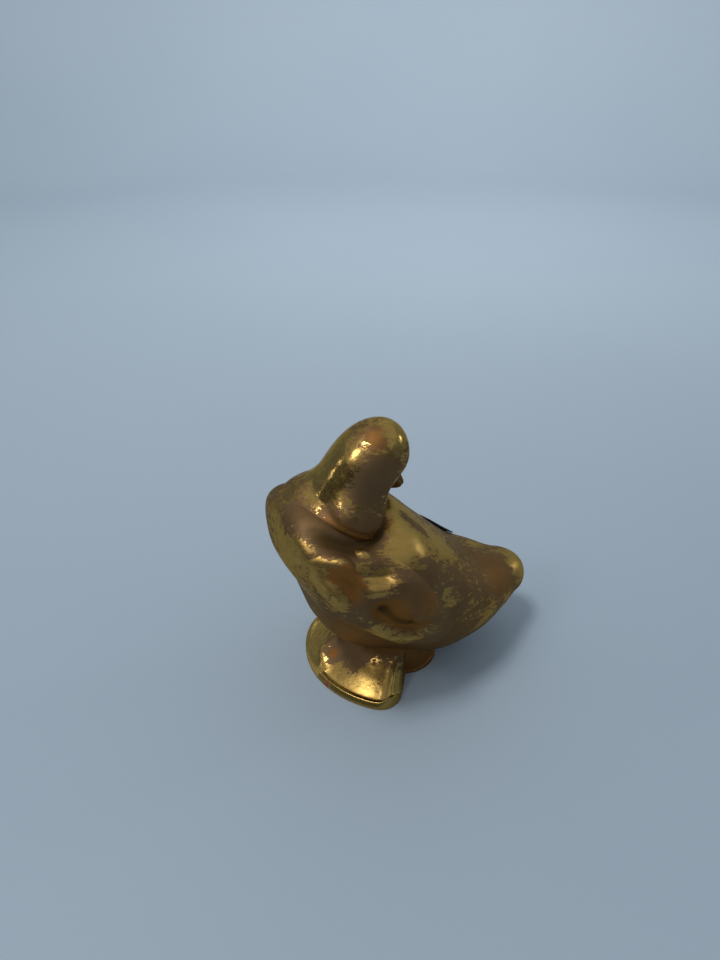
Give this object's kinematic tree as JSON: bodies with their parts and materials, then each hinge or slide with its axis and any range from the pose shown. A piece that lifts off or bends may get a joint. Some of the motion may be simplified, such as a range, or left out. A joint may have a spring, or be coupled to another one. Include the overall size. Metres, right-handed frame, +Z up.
{
  "type": "duck figurine",
  "caption": "Small gilded ceramic duck standing on webbed feet, breast high and tail low, its head turned back over its right shoulder; a shelf ornament.",
  "frame": {"origin": "on the ground, under the middle of the figurine's length and width", "axes": "+Z up, the breast towards -X and the tail towards +X, the duck's left side towards -Y"},
  "size_m": [0.0848, 0.0546, 0.088],
  "materials": {
    "worn_gilding": "gold lustre brushed thinly over a glossy brown glaze, worn and streaky",
    "bright_gilding": "gold lustre, fuller and brighter than on the body",
    "brown_glaze": "glossy brown glaze with little gold left",
    "label_paper": "plain black paper, blank"
  },
  "bodies": {
    "root": {"body": "worn_gilding", "head_and_neck": "worn_gilding", "bill": "brown_glaze", "left_wing": "worn_gilding", "right_wing": "worn_gilding", "left_foot": "bright_gilding", "right_foot": "bright_gilding", "back_label": "label_paper"}
  },
  "joints": []
}
